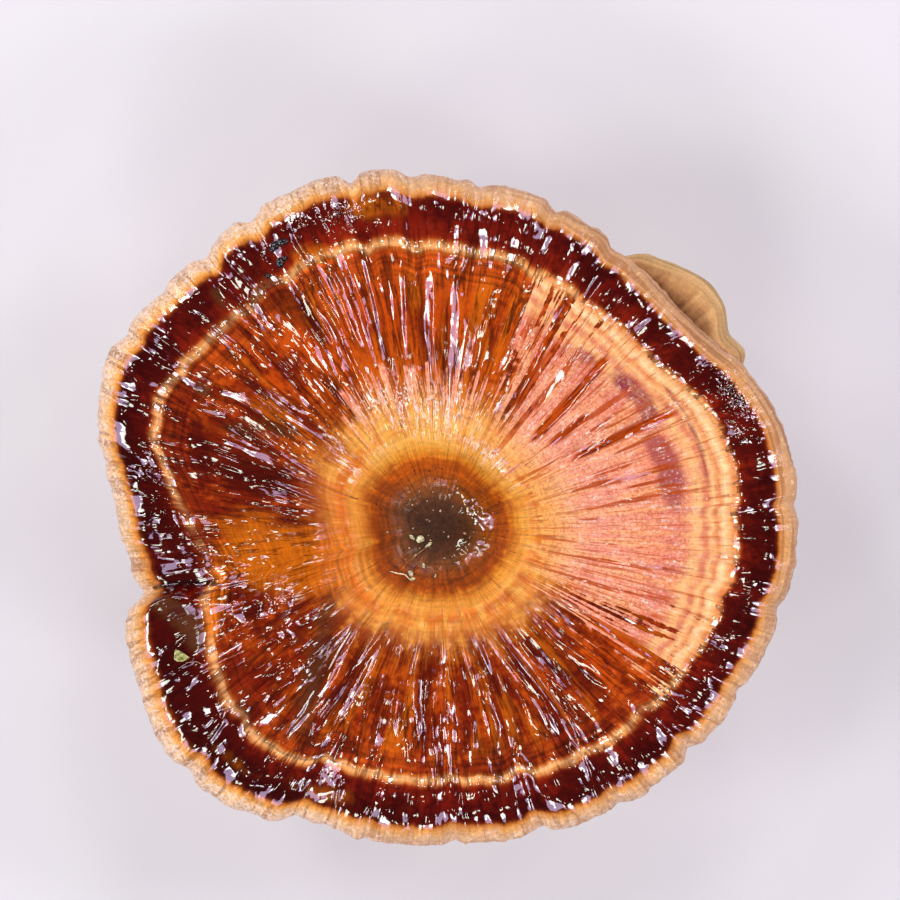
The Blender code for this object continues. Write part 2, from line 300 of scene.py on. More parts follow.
# The fine surface of the cap, which the solid doesn't have
capFine = {
    "rowStep": 0.0105,
    "fewestColumns": 36,           # doubled at each of the shares below
    "columnSteps": (0.02, 0.06, 0.13, 0.28, 0.58),
    "ringRelief": 0.3,             # how much of the growth rings' height is kept
    "ringWobble": (0.007, 13.0),   # share, and noise cells across the diameter
    "wrinkleTiers": [(0.14, 21.0, 5.0), (0.04, 46.0, 9.0)],   # height, cells across, cells along
    "bandCrackle": (0.10, 2.4),    # height and cell size in the outer band
    "lumps": (0.12, 3.6),
    "fineRings": (0.04, 2.5, 58.0),    # height, cells across, rings along the radius
    "lipRibs": (0.22, 46.0),       # height and cells across the diameter
    "lipWaves": [(0.55, 12.0), (0.40, 27.0)],
    "lipInset": 0.12,
    "lipRows": 12,
    "lipZones": 0.075,             # how far the zones run on round the lip
    "lowerLipRows": 18,
    "lowerLipGrooves": [(0.35, 9.0, 1.1), (0.25, 24.0, 0.8)],   # height, cells across, cells along
    "lowerLipInset": 0.15,
    "lowerLipOverlap": 0.9,
    "lowerLipFoot": (0.4, 0.5),    # how far in and down its top begins
    "lowerLipTopWaves": [(0.35, 12.0, 6.0)],
    "underRows": 19,
    "underWaves": [(0.35, 5.0, 3.0)],
    "boxMargin": 0.03,             # how far the cap stays inside its solid's box
    "foldHeight": 0.44,
    "foldWidth": 0.6,
    "foldLines": {                 # by strength, in pixels of the photograph
        1.4: [
            [(386, 626), (360, 664), (335, 697), (320, 715), (311, 743)],
        ],
        1.2: [
            [(303, 317), (322, 339), (334, 356), (341, 391)], [(155, 332), (193, 361), (216, 371)],
            [(242, 372), (289, 415), (326, 438)],
        ],
        1.1: [
            [(192, 310), (215, 330), (236, 348), (240, 362)], [(228, 262), (245, 278), (262, 297)],
            [(293, 230), (301, 247), (310, 262)], [(290, 765), (272, 783), (240, 780)],
            [(343, 773), (337, 800), (333, 822)],
        ],
        1.0: [
            [(364, 251), (377, 310), (387, 365)], [(384, 251), (394, 294), (397, 345), (399, 409)],
            [(241, 386), (289, 415), (320, 433)], [(169, 437), (211, 445), (246, 455)],
            [(232, 692), (226, 716), (210, 742)],
        ],
        0.9: [
            [(307, 367), (337, 391)], [(204, 446), (232, 457), (249, 464)], [(344, 205), (352, 228)],
            [(309, 664), (269, 697)], [(290, 716), (266, 738)],
        ],
        0.8: [
            [(406, 255), (408, 372)], [(307, 285), (325, 315)], [(271, 353), (303, 380)],
            [(327, 269), (342, 292)], [(246, 424), (270, 442)], [(256, 442), (280, 454)],
            [(236, 250), (252, 262)], [(320, 213), (333, 235)], [(366, 714), (358, 759)],
            [(351, 720), (334, 760)], [(373, 610), (359, 626)], [(312, 772), (298, 800)],
        ],
        0.7: [
            [(316, 276), (338, 324)], [(270, 387), (298, 409)], [(377, 279), (383, 301)],
            [(438, 345), (443, 370)], [(224, 426), (251, 441)], [(169, 364), (189, 368)],
            [(200, 408), (221, 413)], [(289, 658), (269, 672)], [(289, 696), (274, 707)],
            [(345, 588), (322, 598)],
        ],
    },
    "moreFolds": {
        "seed": 11,
        "angles": [(58, 92, 10), (262, 335, 22), (100, 255, 26)],   # from, to, how many
        "shares": (0.42, 0.90),
        "lengths": (0.05, 0.17),
        "slant": 3.0,              # degrees that a fold turns on its way out
        "strength": (0.45, 0.9),
        "outermost": 0.94,
    },
    "beads": {
        "seed": 5,
        "heartline": [(262, 560), (268, 600), (292, 640), (300, 676)],   # pixels of the photograph
        "spread": 13.0,
        "count": 70,
        "bandCount": 70,          # more of them in the outer band
        "bandAngles": (60, 350),
        "bandShares": (0.83, 0.93),
        "radius": (0.55, 1.0),
        "height": (0.14, 0.36),
    },
}


def drawBeads():
    beads = capFine["beads"]
    chance = np.random.default_rng(beads["seed"])
    line = np.array(beads["heartline"], float)
    places = []
    for _ in range(beads["count"]):
        along = chance.uniform(0, len(line) - 1.001)
        k = int(along)
        pixel = line[k] + (along - k) * (line[k + 1] - line[k]) + chance.normal(0, beads["spread"], 2)
        places += fromPhoto([pixel])
    for _ in range(beads["bandCount"]):
        angle = chance.uniform(*beads["bandAngles"])
        places.append(spokes(angle, chance.uniform(*beads["bandShares"]) * rimRadius(angle)))
    return [(*place, chance.uniform(*beads["radius"]), chance.uniform(*beads["height"])) for place in places]


def drawFolds():
    lines = [(strength, fromPhoto(line)) for strength, drawn in capFine["foldLines"].items() for line in drawn]
    more = capFine["moreFolds"]
    chance = np.random.default_rng(more["seed"])
    for first, last, count in more["angles"]:
        for _ in range(count):
            angle = chance.uniform(first, last)
            start = chance.uniform(*more["shares"])
            length = chance.uniform(*more["lengths"])
            bend = chance.normal(0, more["slant"], 2)
            line = []
            for step, turned in zip((0.0, 0.5, 1.0), (0.0, bend[0], sum(bend))):
                out = min(start + step * length, more["outermost"]) * rimRadius(angle)
                line.append(spokes(angle + 0.5 * turned, out))
            lines.append((chance.uniform(*more["strength"]), line))
    return lines


beadPlaces = drawBeads()
foldPlaces = drawFolds()


def fineRelief(angle, out, zone, x, y):
    unitX, unitY = spokes(angle)
    height = 0.0
    for rise, across, along in capFine["wrinkleTiers"]:
        height = height + rise * ridged(unitX, unitY, along * out + 3.3, across) * eased(out, 0.14, 0.34)
    rise, cell = capFine["bandCrackle"]
    height = height + rise * between(zone, 0.82, 0.85, 0.93, 0.955) * noiseAt(x, y, 1.9, 1 / cell)
    rise, cell = capFine["lumps"]
    height = height + rise * eased(out, 0.25, 0.5) * noiseAt(x, y, 8.2, 1 / cell)
    rise, cells, rings = capFine["fineRings"]
    height = height + rise * noiseAt(unitX, unitY, rings * zone, cells) * eased(out, 0.1, 0.2)
    folds = 0 * x
    for strength, line in foldPlaces:
        width = capFine["foldWidth"] * (0.6 + 0.4 * strength)
        folds = np.maximum(folds, strength * lineFelt(x, y, line, width))
    height = height + capFine["foldHeight"] * folds
    for beadX, beadY, radius, rise in beadPlaces:
        height = height + rise * hump(np.hypot(x - beadX, y - beadY), 0.7 * radius)
    return height, folds


# Places of colour on the cap: tone is 0 for dark chestnut and 1 for light orange
capPatches = {
    "tone": [
        (15, 0.35), (45, 0.4), (75, 0.7), (100, 0.8), (120, 0.7), (140, 0.4), (157, 0.12),
        (175, -0.05), (195, 0.2), (213, 0.15), (235, 0.2), (255, 0.35), (280, 0.3), (310, 0.3),
        (340, 0.3),
    ],
    "gold": [                      # pixels of the photograph, half width in pixels, amount
        ([(238, 532), (268, 558), (345, 560)], 38, 1.0), ([(222, 562), (212, 640)], 12, 0.8),
        ([(342, 212), (408, 206)], 15, 0.6), ([(296, 256), (330, 250)], 14, 0.5),
        ([(290, 782), (330, 792), (366, 800)], 11, 0.45), ([(214, 744), (262, 776)], 9, 0.35),
    ],
    "olive": [
        ([(331, 600), (300, 740)], 17, 0.75), ([(222, 428), (300, 432)], 14, 0.55),
        ([(196, 386), (212, 393)], 9, 0.9), ([(160, 600), (188, 618), (200, 648)], 14, 1.0),
        ([(300, 636), (322, 668)], 16, 0.5), ([(215, 290), (228, 312)], 7, 0.7),
    ],
    "gloss": [                     # glossy places in and round the pit
        ([(468, 490), (482, 508), (476, 530), (462, 546)], 19, 1.2),
        ([(372, 408), (412, 398), (462, 412)], 28, 0.9), ([(470, 452), (500, 478)], 18, 1.1),
        ([(712, 372), (742, 428)], 24, 1.5), ([(152, 425), (164, 520)], 14, 0.7),
        ([(196, 305), (236, 340)], 14, 0.5), ([(262, 250), (300, 290)], 16, 0.5),
        ([(292, 690), (340, 640)], 14, 0.4), ([(260, 740), (390, 800)], 16, 0.4),
        ([(300, 226), (372, 216)], 15, 1.3), ([(322, 700), (340, 745)], 12, 0.8),
        ([(326, 424), (350, 476)], 14, 0.6), ([(250, 566), (292, 592), (268, 636)], 12, 0.7),
    ],
    "maroon": [                    # the large blister, and dark places
        ([(251, 606), (254, 614)], 17, 1.0), ([(226, 476), (292, 484)], 20, 0.8),
        ([(196, 420), (206, 470)], 14, 0.7), ([(330, 690), (352, 700)], 12, 0.6),
        ([(300, 300), (318, 330)], 12, 0.6), ([(236, 700), (262, 716)], 14, 0.6),
    ],
    "shadow": [                    # the dip beside the crease
        ([(146, 591), (168, 584), (200, 582), (222, 585)], 3, 1.0), ([(164, 578), (206, 574)], 6, 0.35),
    ],
    "ringShow": [                  # how clear the pale growth ring is, by angle
        (0, 0.9), (30, 1.0), (60, 0.8), (95, 1.0), (112, 0.85), (124, 0.45), (132, 0.35), (142, 0.75),
        (152, 0.9), (160, 1.0), (168, 0.8), (176, 0.3), (184, 0.15), (191, 0.15), (196, 0.8),
        (204, 0.55), (214, 0.9), (226, 0.8), (240, 1.0), (262, 1.0), (285, 0.75), (300, 0.9),
        (318, 0.55), (335, 0.85),
    ],
    "stained": [                   # purple stains of the dry film
        ([(616, 378), (640, 400), (652, 424)], 11, 0.9), ([(652, 440), (668, 466), (672, 500)], 13, 1.0),
        ([(660, 384), (684, 416), (700, 452), (706, 490)], 3, 0.7), ([(575, 352), (600, 368)], 9, 0.6),
        ([(598, 470), (612, 500)], 9, 0.5),
    ],
    "lipTan": [                    # how brown the margin's lip is, by angle
        (15, 0.9), (45, 1.0), (75, 0.7), (95, 0.55), (115, 0.25), (140, 0.1), (165, 0.15), (185, 0.35),
        (200, 0.3), (225, 0.1), (245, 0.25), (262, 0.6), (290, 0.5), (330, 0.6),
    ],
    "crinkled": (36, 58, 118, 146),    # angles where the film begins round the pit
    "crinkleShares": (0.25, 0.30, 0.40, 0.54),
    "crinkleAmount": 0.34,
    "dryAngles": (-50, -8, 42, 82),
    "dryShares": (0.24, 0.31, 0.79, 0.81),
    "blunt": 0.15,                 # low for patches with full ends
}
patchNames = ("gold", "olive", "gloss", "maroon", "shadow", "stained")
toneAround = smoothLine(capPatches["tone"], fullTurn)
ringShown = smoothLine(capPatches["ringShow"], fullTurn)
lipBrown = smoothLine(capPatches["lipTan"], fullTurn)


def patchFelt(name, x, y):
    felt = 0 * x
    for line, width, amount in capPatches[name]:
        width *= photo["pixel"]
        felt = np.maximum(felt, amount * lineFelt(x, y, fromPhoto(line), width, capPatches["blunt"]))
    return felt


def dryShare(angle, zone):
    off = turnBetween(angle, 0.0)
    dry = between(off, *capPatches["dryAngles"]) * between(zone, *capPatches["dryShares"])
    crinkled = between(off, *capPatches["crinkled"]) * between(zone, *capPatches["crinkleShares"])
    return np.maximum(dry, capPatches["crinkleAmount"] * crinkled)


def ringZone(angle, out):
    # the share of the way out, shifted so that each growth ring keeps one value all round
    ringLine, lipStart = capForm["ringLine"], capForm["lipStart"]
    line = ringLine + ringWander(angle) + ringWobble(angle, out)
    outer = ringLine + (out - line) * (lipStart - ringLine) / (lipStart - line)
    return np.where(out < line, out - ringShift(angle, out), outer)


def topRing(out):
    angle = anglesOf(capFine["fewestColumns"] * 2 ** sum(out >= step for step in capFine["columnSteps"]))
    rim = marginRadius(angle)
    x, y = spokes(angle, out * rim)
    zone = ringZone(angle, out)
    relief, crest = topRelief(angle, out, rim)
    fine, folds = fineRelief(angle, out, zone, x, y)
    height = pitFloor + topHeight(out) + sheetBend(angle, out, capForm["creaseWidths"][1]) + relief
    return {
        "radius": out * rim,
        "plainHeight": height,
        "height": height + fine,
        "zone": zone,
        "crest": crest,
        "fold": folds,
        "dry": dryShare(angle, zone),
        "valley": valleyFelt(angle, out, rim)[0],
        **{name: patchFelt(name, x, y) for name in patchNames},
    }


def edgeRing(radius, height, zone):
    ring = {name: 0 * radius for name in ("crest", "fold", "dry", "valley", *patchNames)}
    return ring | {"radius": radius, "height": height, "zone": 0 * radius + zone}


def lipRings(edge, unitX, unitY, middle, middleHeight):
    # round the margin's rolled lip, with ribs and waves
    fineEdge = edge["height"] - edge["plainHeight"]
    ribHeight, ribCells = capFine["lipRibs"]
    rows = capFine["lipRows"]
    rings = []
    for k, slant in enumerate(np.linspace(*capForm["lipSlants"], rows)):
        share = k / (rows - 1)
        swell = -2 * ribHeight * np.abs(noiseAt(unitX, unitY, 1.2 * share, ribCells))
        for rise, cells in capFine["lipWaves"]:
            swell = swell + rise * noiseAt(unitX, unitY, 1.5 * share + 4.4, cells)
        swell = (swell - capFine["lipInset"]) * math.sin(math.pi * min(1.0, 0.12 + share))
        outward, upward = spokes(slant)
        radius = middle + (capForm["lipReach"] + swell) * outward
        height = middleHeight + (capForm["lipHalfHeight"] + swell) * upward + fineEdge * (1 - share) ** 3
        rings.append(edgeRing(radius, height, capForm["lipStart"] + capFine["lipZones"] * (k + 1) / rows))
    return rings


def ledgeRings(angle, unitX, unitY, middle, middleHeight):
    # back in below the lip, and round the second lip where there is one
    rows = capFine["lowerLipRows"]
    lipBottom = middleHeight - capForm["lipHalfHeight"]
    lipMiddle = lowerLipRadius(angle) - capForm["lowerLipReach"]
    lipHeight = lipBottom - capForm["lowerLipHalfHeight"] + capFine["lowerLipOverlap"]
    bulges = []
    for k, slant in enumerate(np.linspace(*capForm["lowerLipSlants"], rows)):
        swell = wavesAt(unitX, unitY, k, capFine["lowerLipGrooves"]) - capFine["lowerLipInset"]
        outward, upward = spokes(slant)
        bulges.append((lipMiddle + (capForm["lowerLipReach"] + swell) * outward,
                       lipHeight + (capForm["lowerLipHalfHeight"] + swell) * upward))
    inset, drop = capFine["lowerLipFoot"]
    footRadius, footHeight = middle - inset, lipBottom - drop
    for step in (0.8, 0.6, 0.4, 0.2, 0.0):
        firstRadius, firstHeight = bulges[-rows]
        rise = 0.7 * math.sin(math.pi * step**0.7) + wavesAt(unitX, unitY, step, capFine["lowerLipTopWaves"])
        bulges.insert(0, (footRadius + step * (firstRadius - footRadius),
                          footHeight + step * (firstHeight - footHeight + rise)))
    lower = between(angle, *capForm["lowerLipAngles"])
    bend = sheetBend(angle, capForm["lipStart"], capForm["creaseWidths"][0])
    rings = []
    for k, (bulgeRadius, bulgeHeight) in enumerate(bulges):
        share = k / (len(bulges) - 1)
        radius = middle + 0.9 - 3.3 * share
        height = pitFloor + underHeight(1.0) + bend + 0.12 - 0.6 * share
        radius = radius + lower * (bulgeRadius - radius)
        height = height + lower * (bulgeHeight - height)
        rings.append(edgeRing(radius, height, 1.05 + 0.1 * share))
    return rings


def underRings(start, angle, unitX, unitY, rim):
    # in below the cap to the collar
    collar = capForm["collarRadius"]
    lower = between(angle, *capForm["lowerLipAngles"]) * capForm["lowerLipDrop"]
    rings = []
    for k, inward in enumerate(np.linspace(0.95, 0.0, capFine["underRows"])):
        radius = collar + inward * (start - collar)
        uneven = sheetBend(angle, radius / rim, capForm["creaseWidths"][0])
        uneven = uneven + wavesAt(unitX, unitY, inward, capFine["underWaves"])
        height = pitFloor + underHeight(inward) - lower * eased(inward, 0.62, 0.97)
        height = height + uneven * eased(inward, 0.0, 0.3)
        keep = 1 if k < 3 else 2
        rings.append(edgeRing(radius[::keep], height[::keep], 2.2 - inward))
    return rings


def capRings():
    # rings of points from the hub over the top, round the margin and back below to the collar
    lipStart, step = capForm["lipStart"], capFine["rowStep"]
    rings = [topRing(out) for out in (*np.arange(step, lipStart - step / 2, step), lipStart)]
    angle = anglesOf(len(rings[-1]["radius"]))
    unitX, unitY = spokes(angle)
    rim = marginRadius(angle)
    middle = rim - capForm["lipReach"]
    middleHeight = rings[-1]["plainHeight"] - capForm["lipHalfHeight"]
    rings += lipRings(rings[-1], unitX, unitY, middle, middleHeight)

    # Half as many columns from here on
    angle, unitX, unitY, rim = angle[::2], unitX[::2], unitY[::2], rim[::2]
    rings += ledgeRings(angle, unitX, unitY, middle[::2], middleHeight[::2])
    return rings + underRings(rings[-1]["radius"], angle, unitX, unitY, rim)


def stitchRings(first, second, firstCount, secondCount):
    # faces between two rings, where one may have twice as many points as the other
    if firstCount > secondCount:
        return [face[::-1] for face in stitchRings(second, first, secondCount, firstCount)]
    faces = []
    for k in range(firstCount):
        here, following = first + k, first + (k + 1) % firstCount
        if firstCount == secondCount:
            faces.append((here, second + k, second + (k + 1) % secondCount, following))
            continue
        near, halfway, far = (second + (2 * k + step) % secondCount for step in range(3))
        faces += [(here, near, halfway), (here, halfway, following), (following, halfway, far)]
    return faces


def meshFromRings(name, rings, centres, poles, within=None):
    # a closed mesh through the rings, with a single point at each end, kept within a box
    points = [poles[0]]
    starts = []
    counts = [len(ring["radius"]) for ring in rings]
    for ring, count, (centreX, centreY) in zip(rings, counts, centres):
        starts.append(len(points))
        x, y = spokes(anglesOf(count), ring["radius"])
        points.extend(zip(centreX + x, centreY + y, ring["height"]))
    end = len(points)
    points = np.array([*points, poles[1]])
    if within:
        low, high = (np.array(corner) / mm for corner in within)
        points = np.clip(points, low + capFine["boxMargin"], high - capFine["boxMargin"])
    faces = [(0, starts[0] + k, starts[0] + (k + 1) % counts[0]) for k in range(counts[0])]
    for k in range(len(rings) - 1):
        faces += stitchRings(starts[k], starts[k + 1], counts[k], counts[k + 1])
    faces += [(end, starts[-1] + (k + 1) % counts[-1], starts[-1] + k) for k in range(counts[-1])]
    mesh = bpy.data.meshes.new(name)
    mesh.from_pydata((points * mm).tolist(), [], faces)
    for mark in [name for name in rings[0] if name not in ("radius", "height", "plainHeight")]:
        values = [rings[0][mark][:1]] + [ring[mark] for ring in rings] + [rings[-1][mark][:1]]
        layer = mesh.attributes.new(mark, "FLOAT", "POINT")
        layer.data.foreach_set("value", np.concatenate(values).astype(np.float32))
    mesh.shade_smooth()
    return mesh


def addPiece(name, mesh, finish):
    piece = bpy.data.objects.new(name, mesh)
    mesh.materials.append(finish)
    bpy.context.scene.collection.objects.link(piece)
    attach(piece, "root")
    return piece


# Materials
class Wire:
    # a node's output, so that sums of values read as sums
    def __init__(self, finish, socket):
        self.finish = finish
        self.socket = socket

    def __add__(self, other):
        return self.finish.sums("ADD", self, other)

    def __sub__(self, other):
        return self.finish.sums("SUBTRACT", self, other)

    def __rsub__(self, other):
        return self.finish.sums("SUBTRACT", other, self)

    def __mul__(self, other):
        return self.finish.sums("MULTIPLY", self, other)

    __radd__ = __add__
    __rmul__ = __mul__


def linear(colour):
    # a colour of 0 to 255 as the light it stands for
    parts = [part / 255 for part in colour]
    return [part / 12.92 if part <= 0.04045 else ((part + 0.055) / 1.055) ** 2.4 for part in parts] + [1.0]


class Finish:
    def __init__(self, name):
        self.material = bpy.data.materials.new(name)
        self.material.use_nodes = True
        self.nodes = self.material.node_tree.nodes
        self.links = self.material.node_tree.links
        self.shader = self.nodes["Principled BSDF"]

    def node(self, kind, settings, sockets, output=0):
        made = self.nodes.new("ShaderNode" + kind)
        for name, value in settings.items():
            if name == "stops":
                self.setStops(made.color_ramp, value)
            else:
                setattr(made, name, value)
        for key, value in sockets.items():
            if isinstance(value, Wire):
                self.links.new(value.socket, made.inputs[key])
            else:
                made.inputs[key].default_value = value
        return Wire(self, made.outputs[output])

    def setStops(self, ramp, stops):
        while len(ramp.elements) < len(stops):
            ramp.elements.new(1.0)
        for element, (position, colour) in zip(ramp.elements, stops):
            element.position = position
            element.color = linear(colour)

    def sums(self, operation, first, second):
        return self.node("Math", {"operation": operation}, {0: first, 1: second})

    def mark(self, name):
        return self.node("Attribute", {"attribute_name": name}, {}, "Fac")

    def inMm(self):
        place = self.node("TexCoord", {}, {}, "Object")
        return self.vector("MULTIPLY", place, [1 / mm] * 3)

    def vector(self, operation, first, second=(0, 0, 0)):
        return self.node("VectorMath", {"operation": operation}, {0: first, 1: second})

    def smooth(self, value, low, high, start=0.0, end=1.0):
        sockets = {"Value": value, "From Min": low, "From Max": high, "To Min": start, "To Max": end}
        return self.node("MapRange", {"interpolation_type": "SMOOTHSTEP"}, sockets)

    def falls(self, value, low, high):
        return self.smooth(value, low, high, 1.0, 0.0)

    def between(self, value, startOut, startIn, endIn, endOut):
        return self.smooth(value, startOut, startIn) * self.falls(value, endIn, endOut)

    def noise(self, place, scale=1.0, detail=2.0, roughness=0.5):
        # spread evenly round 0
        sockets = {"Vector": place, "Scale": scale, "Detail": detail, "Roughness": roughness}
        return self.node("TexNoise", {}, sockets) - 0.5

    def ramp(self, value, stops):
        return self.node("ValToRGB", {"stops": stops}, {"Fac": value})

    def mix(self, share, first, second):
        return self.node("Mix", {"data_type": "RGBA"}, {0: share, 6: first, 7: second}, 2)

    def shade(self, colour, value):
        return self.node("HueSaturation", {}, {"Value": value, "Color": colour})

    def feed(self, shader=None, **sockets):
        names = {"colour": "Base Color", "roughness": "Roughness", "coat": "Coat Weight", "normal": "Normal"}
        for key, value in sockets.items():
            self.links.new(value.socket, (shader or self.shader).inputs[names[key]])

    def fixed(self, shader=None, **sockets):
        for key, value in sockets.items():
            (shader or self.shader).inputs[key.replace("_", " ")].default_value = value

    def bumped(self, height):
        return self.node("Bump", {}, {"Strength": 1.0, "Distance": mm, "Height": height})

    def covered(self, share):
        # a second shader over the first, where share is 1
        upper = self.nodes.new("ShaderNodeBsdfPrincipled")
        joined = self.nodes.new("ShaderNodeMixShader")
        self.links.new(share.socket, joined.inputs[0])
        self.links.new(self.shader.outputs[0], joined.inputs[1])
        self.links.new(upper.outputs[0], joined.inputs[2])
        self.links.new(joined.outputs[0], self.nodes["Material Output"].inputs[0])
        return upper


capColours = {
    "zoneSpan": 2.2,               # the ramps run from zone 0 to this
    "darkZones": [
        (0.04, (58, 34, 18)), (0.085, (74, 42, 22)), (0.115, (100, 58, 28)),
        (0.143, (124, 62, 16)), (0.171, (132, 60, 10)), (0.198, (152, 66, 6)), (0.215, (186, 100, 24)),
        (0.232, (218, 136, 46)), (0.257, (238, 156, 58)), (0.286, (208, 104, 20)), (0.314, (222, 134, 48)),
        (0.343, (190, 100, 32)), (0.371, (156, 66, 18)), (0.43, (132, 38, 5)),
        (0.55, (120, 30, 5)), (0.70, (120, 28, 5)), (0.774, (134, 42, 10)), (0.785, (200, 104, 36)),
        (0.793, (253, 194, 128)), (0.804, (250, 174, 96)), (0.812, (176, 70, 20)), (0.820, (92, 12, 4)),
        (0.86, (60, 2, 2)), (0.905, (50, 1, 2)), (0.927, (60, 3, 2)), (0.933, (176, 82, 22)),
        (0.942, (232, 150, 58)), (0.953, (242, 176, 92)), (0.964, (248, 204, 148)),
        (0.985, (246, 206, 168)), (1.03, (206, 160, 126)),
    ],
    "lightZones": [
        (0.04, (62, 37, 20)), (0.085, (80, 47, 24)), (0.112, (120, 68, 26)),
        (0.14, (160, 82, 10)), (0.168, (178, 82, 5)), (0.196, (198, 92, 6)), (0.21, (226, 134, 30)),
        (0.224, (240, 162, 50)), (0.25, (245, 184, 84)), (0.286, (240, 170, 66)), (0.314, (246, 182, 82)),
        (0.343, (242, 168, 68)), (0.371, (234, 148, 54)), (0.41, (220, 116, 28)), (0.46, (206, 90, 14)),
        (0.60, (198, 74, 6)), (0.72, (206, 86, 16)), (0.774, (194, 78, 18)), (0.785, (226, 124, 42)),
        (0.793, (254, 194, 122)), (0.804, (250, 170, 86)), (0.812, (194, 82, 22)), (0.820, (142, 34, 9)),
        (0.86, (124, 24, 8)), (0.905, (98, 12, 5)), (0.927, (102, 14, 6)), (0.933, (192, 94, 28)),
        (0.942, (236, 154, 62)), (0.953, (246, 180, 96)), (0.964, (250, 206, 152)),
        (0.985, (248, 210, 174)), (1.03, (208, 162, 130)),
    ],
    "filmZones": [
        (0.26, (246, 174, 72)), (0.32, (250, 178, 92)), (0.38, (250, 180, 128)), (0.44, (244, 162, 132)),
        (0.52, (250, 170, 132)), (0.58, (244, 158, 116)), (0.64, (228, 138, 112)), (0.67, (240, 158, 114)),
        (0.69, (250, 190, 122)), (0.705, (250, 184, 118)), (0.718, (204, 104, 84)), (0.728, (238, 158, 98)),
        (0.740, (253, 204, 136)), (0.748, (242, 160, 98)), (0.753, (206, 108, 66)), (0.762, (246, 180, 110)),
        (0.772, (254, 220, 162)), (0.782, (252, 200, 130)), (0.80, (226, 130, 62)),
    ],
    "underZones": [
        # the dark stops at 1.044 and 1.056 are painted shade in the tuck below the margin's lip
        (1.03, (150, 100, 66)), (1.044, (74, 38, 20)), (1.056, (84, 46, 24)), (1.063, (160, 106, 62)),
        (1.072, (200, 154, 98)), (1.09, (206, 166, 112)), (1.105, (218, 184, 134)), (1.15, (182, 140, 92)),
        (1.20, (214, 176, 130)), (1.26, (226, 204, 166)), (1.70, (222, 198, 156)),
        (2.02, (206, 172, 124)), (2.12, (150, 96, 54)), (2.165, (78, 34, 18)), (2.20, (62, 24, 14)),
    ],
    "ringless": (120, 34, 10),     # where the pale ring doesn't show
    "gold": (212, 110, 14),
    "olive": (88, 46, 18),
    "deepRedAndShade": (70, 6, 3),            # deep red of the varnish, and painted shade beside the ridges and the runs
    "paintedShade": (34, 6, 4),           # painted shade at the foot of the folds and in the dip beside the crease
    "valley": (196, 76, 8),
    "crack": (88, 20, 12),
    "stain": (134, 44, 62),
    "apricot": (250, 182, 108),
    "grain": (190, 76, 50),        # between the grains of the dry film
    "fleckAndGlint": (255, 228, 212),
    # pale flecks of the dry film, also used for painted glints on the shoulder
    "blush": (255, 240, 226),
    "tan": (206, 148, 98),
    "umber": (128, 62, 26),        # small cracks
    "lichen": (166, 118, 76),      # brown patches of the lip
    "speck": (46, 20, 12),
}


